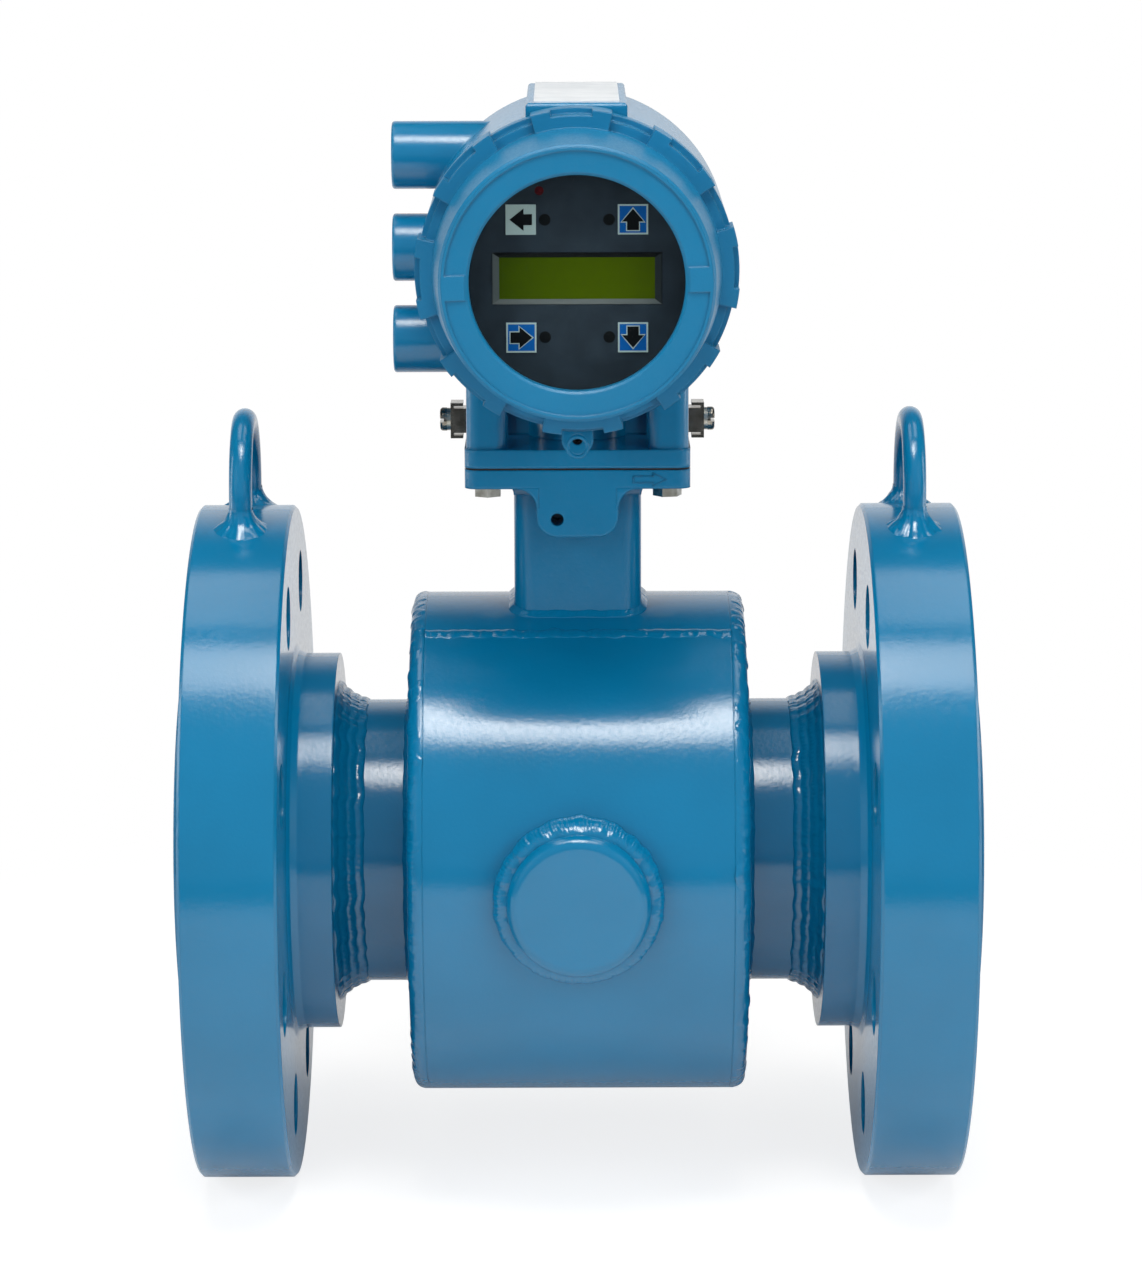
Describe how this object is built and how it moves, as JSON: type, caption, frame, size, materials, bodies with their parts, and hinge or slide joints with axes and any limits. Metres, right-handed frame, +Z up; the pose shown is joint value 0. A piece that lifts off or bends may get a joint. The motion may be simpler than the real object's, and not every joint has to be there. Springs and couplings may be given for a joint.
{
  "type": "electromagnetic flow meter",
  "caption": "Flanged electromagnetic flow meter with a welded coil housing, a pedestal and an explosion-proof transmitter with a round display.",
  "frame": {"origin": "on the bore's axis, midway between the two flange faces", "axes": "+X is the direction of flow, -Y faces the display, +Z points up the pedestal"},
  "size_m": [0.3174, 0.273, 0.442],
  "materials": {
    "blue_paint": "satin blue paint over carbon steel",
    "blue_paint_cast": "satin blue paint over cast aluminium",
    "carbon_steel": "bare steel, inside the coil housing",
    "ptfe": "white fluoroplastic",
    "electrode_alloy": "polished stainless",
    "zinc_steel": "zinc plated",
    "copper_winding": "enamelled copper wire",
    "gasket_rubber": "black rubber",
    "label_plate": "bare label plate",
    "nickel_brass": "nickel plated brass",
    "bezel_plastic": "dark grey face plate",
    "lcd_glass": "unlit olive green panel",
    "led_red": "unlit red lamp",
    "key_film": "printed key fields",
    "circuit_board": "green board",
    "terminal_plastic": "black moulding",
    "window_glass": "clear toughened glass"
  },
  "bodies": {
    "meter": {"flow_tube": "carbon_steel", "tube_liner": "ptfe", "inlet_flange": "blue_paint", "outlet_flange": "blue_paint", "inlet_hub_weld": "blue_paint", "outlet_hub_weld": "blue_paint", "coil_housing_shell": "blue_paint", "inlet_end_plate": "blue_paint", "outlet_end_plate": "blue_paint", "end_plate_welds": "blue_paint", "seam_weld": "blue_paint", "front_electrode_cap": "blue_paint", "rear_electrode_cap": "blue_paint", "electrode_cap_welds": "blue_paint", "electrodes": "electrode_alloy", "electrode_insulators": "ptfe", "electrode_nuts": "zinc_steel", "upper_pole": "carbon_steel", "lower_pole": "carbon_steel", "upper_coil": "copper_winding", "lower_coil": "copper_winding", "flux_return_band": "carbon_steel", "pedestal": "blue_paint", "pedestal_weld": "blue_paint", "pedestal_gasket": "gasket_rubber", "mounting_bolts": "zinc_steel", "outlet_lifting_lug": "blue_paint", "inlet_lifting_lug": "blue_paint", "lifting_lug_welds": "blue_paint", "transmitter_housing": "blue_paint_cast", "name_plate": "label_plate", "cover_lock_screw": "zinc_steel", "cover_o_rings": "gasket_rubber", "ground_blocks": "nickel_brass", "ground_clamps": "nickel_brass", "ground_washers": "zinc_steel", "ground_screws": "nickel_brass", "display_bezel": "bezel_plastic", "lcd_panel": "lcd_glass", "status_led": "led_red", "key_labels": "key_film", "circuit_boards": "circuit_board", "standoffs": "zinc_steel", "terminal_block": "terminal_plastic", "terminal_screws": "zinc_steel"},
    "display_window": {"window_seal": "gasket_rubber", "window_glass": "window_glass"},
    "display_cover": {"display_cover": "blue_paint_cast", "window_retainer": "zinc_steel"},
    "terminal_gasket": {"terminal_cover_gasket": "gasket_rubber"},
    "terminal_cover": {"terminal_cover": "blue_paint_cast"}
  },
  "joints": [
    {"name": "display_cover_travel", "type": "slide", "parent": "meter", "child": "display_window", "axis": [0, -1, 0], "range_m": [0, 0.0161]},
    {"name": "display_cover_turn", "type": "hinge", "parent": "display_window", "child": "display_cover", "pos_m": [0, 0, 0.2425], "axis": [0, -1, 0], "range_deg": [0, 2880]},
    {"name": "terminal_cover_travel", "type": "slide", "parent": "meter", "child": "terminal_gasket", "axis": [0, 1, 0], "range_m": [0, 0.0161]},
    {"name": "terminal_cover_turn", "type": "hinge", "parent": "terminal_gasket", "child": "terminal_cover", "pos_m": [0, 0, 0.2425], "axis": [0, 1, 0], "range_deg": [0, 2880]}
  ],
  "couplings": [
    {"joint": "display_cover_travel", "follows": "display_cover_turn", "m_per_rad": 0.00031831},
    {"joint": "terminal_cover_travel", "follows": "terminal_cover_turn", "m_per_rad": 0.00031831}
  ]
}
